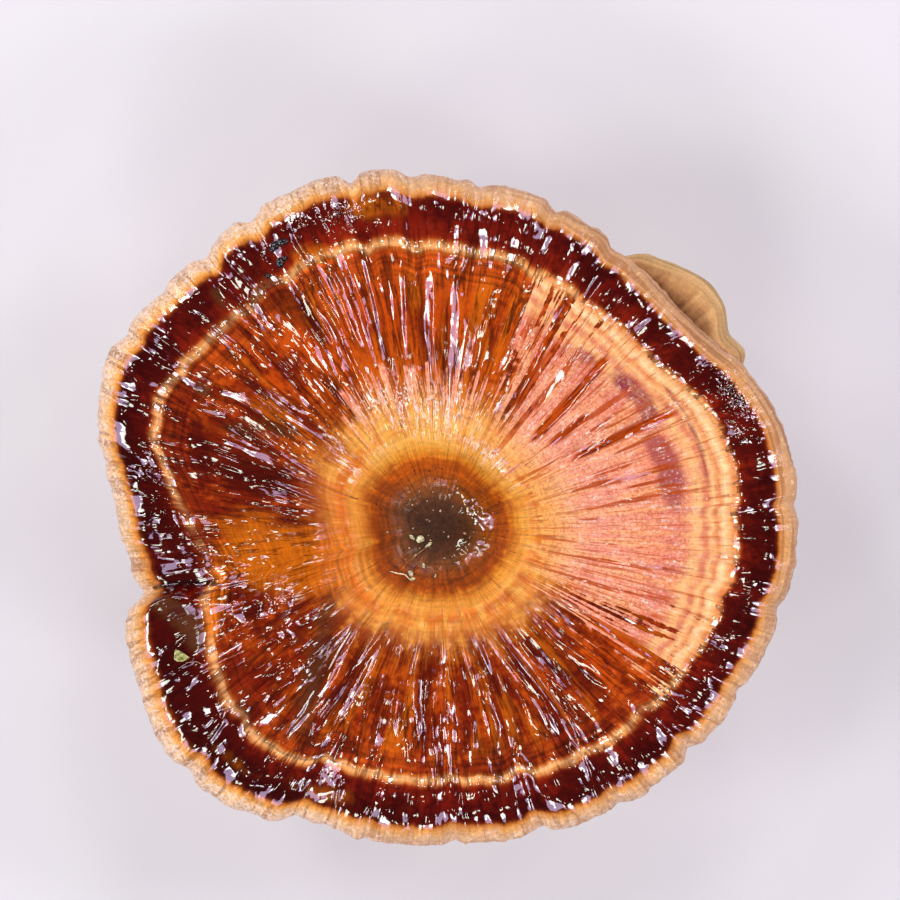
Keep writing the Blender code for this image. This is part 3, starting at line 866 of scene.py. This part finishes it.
def capFinish():
    c = capColours
    f = Finish("varnished cap")
    inMm = f.inMm()
    fromHub = f.vector("SUBTRACT", inMm, (*capForm["hub"], 0.0))
    spoke = f.vector("NORMALIZE", f.vector("MULTIPLY", fromHub, (1, 1, 0)))
    zone, crest, dry, fold, gloss, brown = (
        f.mark(name) for name in ("zone", "crest", "dry", "fold", "gloss", "brown"))
    polar = f.vector("ADD", spoke, f.node("CombineXYZ", {}, {2: zone}))

    def rays(across, along, detail=2, roughness=0.5):
        # noise drawn out along the radius, or along the rings where along is large
        return f.noise(f.vector("MULTIPLY", polar, (across, across, along)), 1.0, detail, roughness)

    def zones(name):
        return f.ramp(shifted, [(position / c["zoneSpan"], colour) for position, colour in c[name]])

    def tinted(colour, *layers):
        for share, name in layers:
            colour = f.mix(share, colour, linear(c[name]))
        return colour

    streaks = rays(60, 4, 3)
    hairs = rays(120, 7)
    rings = rays(2, 90)
    runs = rays(26, 5, 3, 0.55)
    edgeLines = rays(5, 150)
    patchEdge = rays(16, 10, 3) * 0.9
    cloud = f.noise(inMm, 0.16, 3)
    mottle = f.noise(inMm, 0.55, 3, 0.6)
    speckle = f.noise(inMm, 1.6, 3, 0.6)

    # Growth zones, with edges that wander along the rays
    wobbly = zone + rays(13, 5) * 0.024 + streaks * 0.014 + mottle * 0.012
    shifted = f.node("Clamp", {}, {"Value": wobbly * (1 / c["zoneSpan"])})
    # crest makes the ridges of the wrinkles a little lighter: painted light
    tone = f.mark("tone") + rays(9, 4, 3) * 1.7 + cloud * 0.9 + mottle * 1.6 + crest * 0.12
    middle = f.between(zone, 0.30, 0.44, 0.90, 0.94)
    # darker red along random streaks, and painted shade between the ridges of the wrinkles
    streakAndHollowShade = f.smooth(streaks * 1.6 + 0.42 - crest, 0.0, 1.0) * middle
    golden = f.between(zone, 0.34, 0.46, 0.68, 0.76) * f.smooth(f.mark("tone"), 0.05, 0.4)
    onRing = f.between(wobbly, 0.768, 0.785, 0.815, 0.832)
    hidden = f.falls(f.mark("shown") + rays(11, 3, 3, 0.6) * 1.8, 0.2, 0.6)
    colour = f.mix(f.smooth(tone, 0.05, 0.95), zones("darkZones"), zones("lightZones"))
    colour = tinted(
        colour,
        (streakAndHollowShade * 0.6, "deepRedAndShade"),
        (f.smooth(rays(13, 2.5, 3, 0.6), 0.03, 0.14) * golden * 0.6, "gold"),
        (f.smooth(rays(34, 7, 3, 0.65), 0.01, 0.09) * middle * 0.6, "deepRedAndShade"),
        (onRing * hidden * 0.85, "ringless"),
        (f.smooth(f.mark("gold") + patchEdge, 0.2, 0.8) * 0.8, "gold"),
        (f.smooth(f.mark("olive") + patchEdge, 0.25, 0.8) * 0.85, "olive"),
        (f.smooth(f.mark("maroon") + patchEdge * 0.7, 0.25, 0.7) * 0.8, "deepRedAndShade"),
    )

    # Runs of thicker varnish and the folds stand up; painted shade darkens their edges and feet and the
    # crease's dip
    crowded = f.smooth(f.noise(inMm, 0.1), -0.08, 0.08) * middle
    foldFootShade = f.between(fold, 0.02, 0.25, 0.4, 0.9) * f.smooth(mottle, -0.12, 0.1)
    colour = tinted(
        colour,
        (f.between(runs, -0.01, 0.03, 0.04, 0.10) * crowded * 0.7, "deepRedAndShade"),
        (foldFootShade * 0.4, "paintedShade"),
        (f.smooth(f.mark("shadow") + mottle * 0.5, 0.2, 0.7) * 0.85, "paintedShade"),
    )

    # The dry film of the right side, with purple stains
    stains = f.smooth(cloud * 0.5 + speckle * 0.5 + rings * 0.6, 0.04, 0.18) * f.smooth(zone, 0.5, 0.62)
    stains = stains * 0.28 + f.smooth(f.mark("stained") + patchEdge * 0.6, 0.2, 0.7) * 0.7
    grains = f.noise(inMm, 1.25, 4, 0.7) * 0.55 + rays(60, 22, 3, 0.7) * 0.45
    grainy = f.smooth(zone, 0.30, 0.42) * (1 - f.smooth(zone, 0.66, 0.72) * 0.7)
    crazing = f.node("TexVoronoi", {"feature": "DISTANCE_TO_EDGE"}, {"Vector": inMm, "Scale": 0.95})
    crazed = f.smooth(speckle, -0.1, 0.05) * f.falls(zone, 0.64, 0.70)
    film = tinted(
        zones("filmZones"),
        (f.smooth(rays(22, 2.5, 3, 0.6), -0.04, 0.08) * 0.5, "apricot"),
        (stains, "stain"),
        (f.falls(grains, -0.09, 0.0) * grainy * 0.5, "grain"),
        (f.smooth(grains, 0.04, 0.11) * grainy * 0.6, "fleckAndGlint"),
        (f.falls(crazing, 0.02, 0.14) * crazed * 0.5, "grain"),
    )
    torn = f.smooth(rays(26, 2, 3, 0.6), -0.14, 0.14) - 0.5 + rays(5, 1.5) * 0.8 + mottle * 0.9
    torn = torn * f.smooth(dry, 0.02, 0.3) * (1 - f.smooth(dry, 0.8, 1.0) * 0.7)
    sector = f.smooth(dry + torn, 0.38, 0.52)
    channel = f.smooth(f.mark("valley") + streaks * 0.7, 0.25, 0.65)
    rift = f.smooth(rays(17, 2.5, 3, 0.65), 0.05, 0.10) * f.falls(zone, 0.62, 0.74)
    hairline = f.smooth(rays(70, 5), 0.10, 0.16)
    dryLeft = sector * (1 - channel) * (1 - rift * 0.85) * (1 - hairline * 0.55)
    dryLeft = dryLeft * (1 - f.smooth(f.mark("gold"), 0.2, 0.7) * 0.75)
    split = channel * sector * f.smooth(rays(90, 9), 0.04, 0.12)
    colour = tinted(colour, (sector * 0.7, "valley"), (split * 0.8, "crack"))
    # a pale lace of dry-film flecks round the shoulder's glossy places, partly painted glints
    laceAndGlint = f.between(rays(20, 11, 3, 0.65), -0.01, 0.015, 0.035, 0.06) * f.smooth(gloss + patchEdge, 0.2, 0.7)
    laceAndGlint = laceAndGlint * f.smooth(speckle, -0.14, 0.0) * f.between(zone, 0.22, 0.27, 0.45, 0.55)
    colour = tinted(f.mix(dryLeft, colour, film), (laceAndGlint * 0.85, "fleckAndGlint"))

    # Fine rays, rings and grain over all of the top
    shoulder = f.between(zone, 0.10, 0.16, 0.32, 0.40)
    nearRing = f.between(zone, 0.66, 0.72, 0.79, 0.81)
    inPit = f.falls(zone, 0.16, 0.22)
    lip = f.smooth(wobbly, 0.930, 0.950) * f.falls(zone, 1.03, 1.05)
    lined = lip * f.smooth(brown, 0.5, 0.9)
    outerLip = f.smooth(wobbly, 0.950, 0.962) * lip * (1 - lined * 0.7)
    ringed = 0.3 + shoulder * 0.5 + inPit + nearRing * (1 - dryLeft) * 1.8 + f.smooth(f.mark("gold"), 0.1, 0.6)
    grain = 1 + hairs * 0.7 + rings * ringed + speckle * (0.4 + lip * 0.9)
    grain = grain + rays(34, 5, 3, 0.7) * inPit * 1.8 + rays(62, 3) * (lip - lined) * 0.6
    cracks = f.smooth(rays(44, 16), 0.10, 0.18) * shoulder * f.smooth(mottle, 0.0, 0.1)
    cracks = cracks + f.smooth(rays(52, 9, 3, 0.6), 0.05, 0.12) * (lip - lined * 0.8)
    inside = (shoulder + inPit * 0.6) * f.smooth(mottle, -0.08, 0.05)
    cracks = cracks + f.smooth(rays(40, 4), 0.06, 0.12) * inside * 0.8
    patchy = f.noise(inMm, 0.8, 4, 0.7) + brown * 0.03
    colour = tinted(
        f.shade(colour, grain),
        (cracks * 0.5, "umber"),
        (f.smooth(speckle - brown * 0.12, -0.08, 0.12) * outerLip * 0.8, "blush"),
        (f.smooth(mottle + brown * 0.25, 0.02, 0.16) * lip * (0.1 + brown * 0.65), "tan"),
        (f.smooth(patchy, 0.05, 0.14) * outerLip * 0.5, "lichen"),
        (f.smooth(rays(3, 110, 1), 0.0, 0.10) * lined * 0.45, "umber"),
        (f.smooth(f.noise(inMm, 1.3), 0.17, 0.20) * f.falls(zone, 0.18, 0.26) * 0.8, "speck"),
    )

    # Pores below
    lower = f.smooth(zone, 1.03, 1.05)
    ledge = f.between(zone, 1.03, 1.05, 1.15, 1.18)
    flesh = f.shade(zones("underZones"), 1 + speckle * 0.6 + rings * 0.5 + edgeLines * ledge * 1.4)
    pores = f.node("TexVoronoi", {}, {"Vector": inMm, "Scale": 2.6, "Randomness": 0.75})
    poreHoles = f.falls(pores, 0.2, 0.42) * f.between(zone, 1.17, 1.24, 2.09, 2.16)
    colour = f.shade(f.mix(lower, colour, flesh), 1 - poreHoles * 0.45)

    # The flesh and the film are dull
    dryTop = f.smooth(dry, 0.38, 0.52)
    glossyTop = (1 - dryTop) * (1 - lower)
    height = hairs * f.smooth(zone, 0.05, 0.7) * glossyTop * 0.05 + mottle * 0.10 * glossyTop
    height = height + speckle * (0.03 + dryTop * 0.16 + f.between(zone, 0.93, 0.95, 1.03, 1.05) * 0.2)
    height = height + rings * (0.04 + lower * 0.1) + edgeLines * ledge * 0.5
    f.feed(colour=colour, roughness=0.6 + speckle * 0.3, normal=f.bumped(height))
    f.fixed(Specular_IOR_Level=0.15)

    # The varnish covers them outside the funnel, with ripples that break up what it mirrors
    funnel = f.falls(zone, 0.34, 0.42)
    band = f.between(zone, 0.81, 0.84, 0.94, 0.96)
    shine = (1 - dryLeft * 0.92) * (1 - lip * 0.85) * (1 - lower) * (1 - funnel * (0.94 - gloss * 0.94))
    shine = shine * (1 - f.smooth(f.mark("olive"), 0.5, 0.95) * 0.7)
    runny = rays(24, 6, 1) * (0.08 + band * 0.10) + hairs * 0.008 + f.smooth(runs, 0.0, 0.10) * crowded * 0.03
    plates = f.noise(inMm, 0.36, 1) * 0.62
    crinkles = rays(24, 10, 1) * (1 - band) * 0.2 + f.noise(inMm, 0.8, 1) * (0.10 + band * 0.16)
    ripples = f.noise(inMm, 0.35, 1) * 0.16 + runny * (1 - inPit)
    ripples = ripples + (plates * inPit + crinkles * (1 - inPit)) * gloss
    varnish = f.covered(shine)
    f.feed(varnish, colour=colour, roughness=0.06 - inPit * 0.035 + speckle * 0.08, normal=f.bumped(ripples))
    f.fixed(varnish, IOR=1.76)
    return f.material


def makeCap():
    rings = capRings()
    for ring in rings:
        angle = anglesOf(len(ring["radius"]))
        ring.update(tone=toneAround(angle), shown=ringShown(angle), brown=lipBrown(angle))
    hub = capForm["hub"]
    poles = ((*hub, pitFloor), (*hub, rings[-1]["height"][0]))
    mesh = meshFromRings("cap_crust", rings, [hub] * len(rings), poles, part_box("cap"))
    triangles = sum(len(face.vertices) - 2 for face in mesh.polygons)
    print("cap:", len(mesh.vertices), "points,", triangles, "triangles")
    piece = addPiece("cap_crust", mesh, capFinish())
    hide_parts("cap")
    return piece


stemForm = {
    "radii": [
        (0.00, 14.6), (0.05, 14.2), (0.16, 11.9), (0.34, 10.0), (0.55, 9.5), (0.74, 10.3),
        (0.88, 10.9), (1.00, 11.5),
    ],
    "swayX": [(0.0, 0.0), (0.3, 1.3), (0.6, 0.4), (1.0, -1.5)],
    "swayY": [(0.0, 0.0), (0.3, -0.2), (0.6, -2.4), (1.0, -4.0)],
    "knobHeight": 1.1,
    "fineWaves": [(0.22, 7.0, 9.0), (0.1, 20.0, 14.0)],    # height, cells across, cells along
    "inset": 0.15,
    "topRings": (3.0, 7.0, 10.4),      # radii
    "footRings": (0.99, 0.94, 0.8, 0.6, 0.4, 0.2, 0.07),   # shares of the foot's radius
    "columns": 160,
    "rows": 110,
    "topTuck": 0.35,               # how far the top reaches into the cap
    "varnish": [(0.0, (44, 14, 9)), (0.45, (84, 26, 13)), (0.62, (128, 52, 22)), (0.8, (164, 84, 38))],
    "cut": [(0.3, (176, 128, 82)), (0.55, (214, 178, 128)), (0.75, (228, 198, 150))],
}


def stemFinish():
    s = stemForm
    f = Finish("varnished stem")
    inMm = f.inMm()
    fibres = f.noise(f.vector("MULTIPLY", inMm, (1, 1, 0.22)), 1.3, 3)
    grain = f.noise(inMm, 2.2, 3)
    cut = f.mark("cut")
    blotch = f.noise(inMm, 0.14, 4) * 0.6 + fibres * 0.4 + f.mark("knob") * 0.12
    pale = f.noise(inMm, 0.5, 4) * 0.5 + grain * 0.5
    colour = f.mix(cut, f.ramp(blotch + 0.5, s["varnish"]), f.ramp(pale + 0.5, s["cut"]))
    f.feed(
        colour=f.shade(colour, 1 + grain * 0.4), roughness=0.24 + cut * 0.6 + grain * 0.2, coat=1 - cut,
        normal=f.bumped(fibres * 0.2 + grain * 0.08))
    f.fixed(Coat_Roughness=0.1)
    return f.material


def makeStem():
    s = stemForm
    angle = anglesOf(s["columns"])
    unitX, unitY = spokes(angle)
    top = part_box("stem")[1].z / mm
    radiusAt, swayX, swayY = (smoothLine(s[name]) for name in ("radii", "swayX", "swayY"))
    rings, centres = [], []

    def addRing(share, radius, height, cut=0.0, knob=0.0):
        values = {"radius": radius, "height": height, "cut": cut, "knob": knob}
        rings.append({name: value + 0 * angle for name, value in values.items()})
        centres.append((swayX(share), swayY(share)))

    for radius in s["topRings"]:
        addRing(1.0, radius, top + s["topTuck"])
    for share in np.linspace(1, 0, s["rows"]):
        lumps = noiseAt(unitX, unitY, 5.0 * share + 3.1, 1.4) + 0.5 * noiseAt(unitX, unitY, 2.2 * share, 3.0)
        strength = 0.3 + between(share, 0.0, 0.1, 0.86, 0.99)
        uneven = (s["knobHeight"] * lumps + wavesAt(unitX, unitY, share, s["fineWaves"])) * strength
        addRing(share, radiusAt(share) + uneven - s["inset"], top * share, knob=lumps)
    foot = rings[-1]["radius"]
    for inward in s["footRings"]:
        addRing(0.0, foot * inward, 0.0, cut=1.0)
    poles = ((swayX(1.0), swayY(1.0), top + s["topTuck"]), (0.0, 0.0, 0.0))
    mesh = meshFromRings("stem_crust", rings, centres, poles)
    print("stem:", len(mesh.vertices), "points")
    piece = addPiece("stem_crust", mesh, stemFinish())
    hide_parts("stem")


capPiece = makeCap()
makeStem()

# Small things that lie on the cap, at pixels of the photograph
litter = {
    "seed": 4,
    "lumps": {                     # pixel, half sizes along, across and up, and turn
        "pit_crumbs": [
            ((420, 541), (1.0, 0.75, 0.5), 20), ((411, 539), (0.8, 0.4, 0.35), 140),
            ((428, 547), (0.9, 0.35, 0.3), 40), ((410, 576), (0.8, 0.5, 0.4), 120),
            ((412, 581), (0.6, 0.4, 0.3), 10), ((423, 568), (0.6, 0.45, 0.35), 80),
            ((435, 578), (0.5, 0.22, 0.2), 70),
        ],
        "green_chip": [((182, 656), (2.3, 2.2, 0.22), 0)],
        "black_lumps": [
            ((277, 247), (1.3, 0.8, 0.6), 40), ((284, 244), (1.2, 0.7, 0.5), 10),
            ((273, 251), (0.6, 0.5, 0.4), 0), ((281, 264), (1.1, 0.9, 0.6), 70),
            ((286, 260), (0.6, 0.5, 0.4), 30), ((269, 277), (0.6, 0.6, 0.45), 0),
        ],
    },
    "corners": {"green_chip": 0.85},
    "grains": {"count": 46, "within": 11.5, "size": (0.12, 0.30)},
    "threadSteps": 14,
    "threadSides": 8,
    "threads": {                   # pixels along the line, half thickness
        "needle": ([(351, 631), (339, 650), (329, 669)], 0.24),
        "needle_tip": ([(331, 672), (328, 680)], 0.2),
        "pit_straw": ([(389, 573), (396, 575), (404, 576), (411, 583)], 0.15),
        "pit_stalk": ([(427, 549), (418, 555), (410, 563)], 0.09),
        "chip_thread": ([(188, 661), (198, 660), (206, 664)], 0.08),
    },
    "colours": {                   # dark and light
        "pit_crumbs": ((120, 118, 60), (224, 222, 176)), "green_chip": ((104, 112, 40), (200, 196, 128)),
        "black_lumps": ((8, 6, 8), (20, 14, 16)), "pit_grit": ((84, 52, 30), (208, 168, 124)),
        "needle": ((214, 180, 150), (250, 230, 214)), "needle_tip": ((214, 160, 80), (250, 210, 140)),
        "pit_straw": ((214, 184, 120), (250, 236, 200)), "pit_stalk": ((150, 110, 70), (190, 150, 100)),
        "chip_thread": ((170, 130, 90), (214, 176, 130)),
    },
}


def litterFinish(name):
    dark, light = litter["colours"][name]
    f = Finish(name.replace("_", " "))
    f.feed(colour=f.ramp(f.noise(f.inMm(), 1.5) + 0.5, [(0.38, dark), (0.62, light)]))
    f.fixed(Roughness=0.4, Specular_IOR_Level=0.2, Coat_Weight=1.0, Coat_Roughness=0.04)
    return f.material


capTree = BVHTree.FromPolygons(
    [vertex.co for vertex in capPiece.data.vertices], [face.vertices for face in capPiece.data.polygons])


def onCap(x, y):
    # the cap's top at a place given from the hub
    hubX, hubY = capForm["hub"]
    place = Vector(((x + hubX) * mm, (y + hubY) * mm, 1.0))
    return capTree.ray_cast(place, Vector((0, 0, -1)))[0] / mm


def addLump(points, faces, middle, half, turn, corners, phase):
    # an uneven lump, or a three-cornered one where corners is near 1
    ball = bmesh.new()
    bmesh.ops.create_icosphere(ball, subdivisions=3, radius=1.0)
    ball.verts.index_update()
    first = len(points)
    faces.extend([first + vertex.index for vertex in face.verts] for face in ball.faces)
    for vertex in ball.verts:
        spot = vertex.co
        swell = 1 + 0.35 * noise.noise(1.6 * spot + Vector((phase, 0, 0)))
        past = math.atan2(spot.y, spot.x) % (math.tau / 3) - math.pi / 3
        swell += corners * (0.5 / math.cos(past) - swell)
        spot = Vector((spot.x * half[0] * swell, spot.y * half[1] * swell, spot.z * half[2]))
        points.append(middle + Matrix.Rotation(math.radians(turn), 3, "Z") @ spot)
    ball.free()


def addThread(points, faces, line, half):
    # a thin round thread that lies on the cap's highest points below it and tapers at its ends
    steps, sides = litter["threadSteps"], litter["threadSides"]
    path = []
    for share in np.linspace(0, len(line) - 1, steps):
        k = min(int(share), len(line) - 2)
        place = Vector(line[k]).lerp(Vector(line[k + 1]), share - k)
        path.append(onCap(*place))
    across = path[-1] - path[0]
    straight = [path[0] + across * k / (steps - 1) for k in range(steps)]
    lift = max(spot.z - level.z for spot, level in zip(path, straight)) + half
    side = Vector((-across.y, across.x, 0)).normalized()
    first = len(points)
    for k, (spot, level) in enumerate(zip(path, straight)):
        thin = half * (0.3 + 0.7 * abs(math.sin(math.pi * k / (steps - 1))) ** 0.4)
        centre = Vector((spot.x, spot.y, level.z + lift))
        for outward, upward in zip(*spokes(anglesOf(sides))):
            points.append(centre + side * (thin * outward) + Vector((0, 0, thin * upward)))
    for k in range(steps - 1):
        for j in range(sides):
            near, far = first + k * sides, first + (k + 1) * sides
            faces.append([near + j, near + (j + 1) % sides, far + (j + 1) % sides, far + j])
    faces.append([first + j for j in reversed(range(sides))])
    faces.append([first + (steps - 1) * sides + j for j in range(sides)])


def addLitter(name, points, faces):
    mesh = bpy.data.meshes.new(name)
    mesh.from_pydata([(point * mm)[:] for point in points], [], faces)
    mesh.shade_smooth()
    addPiece(name, mesh, litterFinish(name))


def makeLitter():
    for name, lumps in litter["lumps"].items():
        points, faces = [], []
        for k, (pixel, half, turn) in enumerate(lumps):
            middle = onCap(*fromPhoto([pixel])[0]) + Vector((0, 0, 0.7 * half[2]))
            addLump(points, faces, middle, half, turn, litter["corners"].get(name, 0.0), 3.7 * k)
        addLitter(name, points, faces)
    grains = litter["grains"]
    chance = np.random.default_rng(litter["seed"])
    points, faces = [], []
    for k in range(grains["count"]):
        away, around = grains["within"] * chance.uniform(0, 1) ** 0.6, chance.uniform(0, math.tau)
        size = chance.uniform(*grains["size"])
        middle = onCap(away * math.cos(around), away * math.sin(around)) + Vector((0, 0, 0.5 * size))
        addLump(points, faces, middle, (size, 0.8 * size, 0.7 * size), 40.0 * k, 0.0, 1.3 * k)
    addLitter("pit_grit", points, faces)
    for name, (line, half) in litter["threads"].items():
        points, faces = [], []
        addThread(points, faces, fromPhoto(line), half)
        addLitter(name, points, faces)


makeLitter()
print("small things made")

# Floor, lights and camera
studio = {
    "boxes": [                     # azimuth, degrees from straight up, width in degrees, radiance
        (20, 49, 18, 4.0), (75, 51, 18, 4.0), (138, 48, 19, 4.0), (197, 50, 20, 4.0),
        (262, 49, 18, 4.0), (322, 51, 18, 4.0),
        (20, 44, 8.5, 11.4), (48, 56, 8, 11.4), (82, 45, 8.5, 11.4), (130, 43, 9, 11.4), (152, 56, 8, 11.4),
        (190, 42, 11, 11.4), (222, 44, 9, 11.4), (268, 43, 8.5, 11.4), (322, 45, 8.5, 11.4),
        (45, 27, 5, 12.4), (140, 27, 5, 12.4), (250, 28, 5, 12.4), (312, 27, 5, 12.4),
    ],
    "distance": 1.2,
    "tints": ((1.02, 0.80, 1.22), (0.98, 1.05, 0.91)),    # of the wide boxes and of the bright ones
    "brightFrom": 10.0,
    "world": (1.0, 0.99, 0.97),
    "worldStrength": 0.04,
    "cameraHeight": 0.5,           # above the widest line of the margin
    "lens": 90.9,
}


def addBox(number, azimuth, zenith, width, radiance):
    # a soft light that faces the top of the cap
    s = studio
    outward, upward = spokes(90 - zenith)
    away = Vector((*spokes(azimuth, outward), upward))
    lamp = bpy.data.lights.new(f"soft box {number}", "AREA")
    lamp.size = 2 * s["distance"] * math.tan(math.radians(width / 2))
    lamp.energy = radiance * math.pi * lamp.size**2
    lamp.color = s["tints"][radiance >= s["brightFrom"]]
    box = bpy.data.objects.new(lamp.name, lamp)
    box.location = Vector((0, 0, capHigh.z)) + s["distance"] * away
    box.rotation_euler = away.to_track_quat("Z", "Y").to_euler()
    bpy.context.scene.collection.objects.link(box)


def makeStudio():
    s = studio
    scene = bpy.context.scene
    bpy.ops.mesh.primitive_plane_add(size=6, location=(0, 0, 0))
    floor = bpy.context.object
    floor.name = "floor"
    paper = Finish("pale floor")
    paper.fixed(Base_Color=(0.8, 0.8, 0.79, 1), Roughness=0.9)
    floor.data.materials.append(paper.material)
    for number, box in enumerate(s["boxes"], 1):
        addBox(number, *box)
    world = bpy.data.worlds.new("studio")
    world.use_nodes = True
    background = world.node_tree.nodes["Background"]
    background.inputs["Color"].default_value = (*s["world"], 1)
    background.inputs["Strength"].default_value = s["worldStrength"]
    scene.world = world

    camera = bpy.data.objects.new("camera", bpy.data.cameras.new("camera"))
    camera.data.lens = s["lens"]
    (middleX, middleY), = fromPhoto([photo["middle"]])
    hubX, hubY = capForm["hub"]
    widest = (pitFloor + topHeight(capForm["lipStart"]) - capForm["lipHalfHeight"]) * mm
    camera.location = ((hubX + middleX) * mm, (hubY + middleY) * mm, widest + s["cameraHeight"])
    scene.collection.objects.link(camera)
    scene.camera = camera
    scene.view_settings.view_transform = "Standard"


makeStudio()
print("studio made")

bpy.context.view_layer.update()
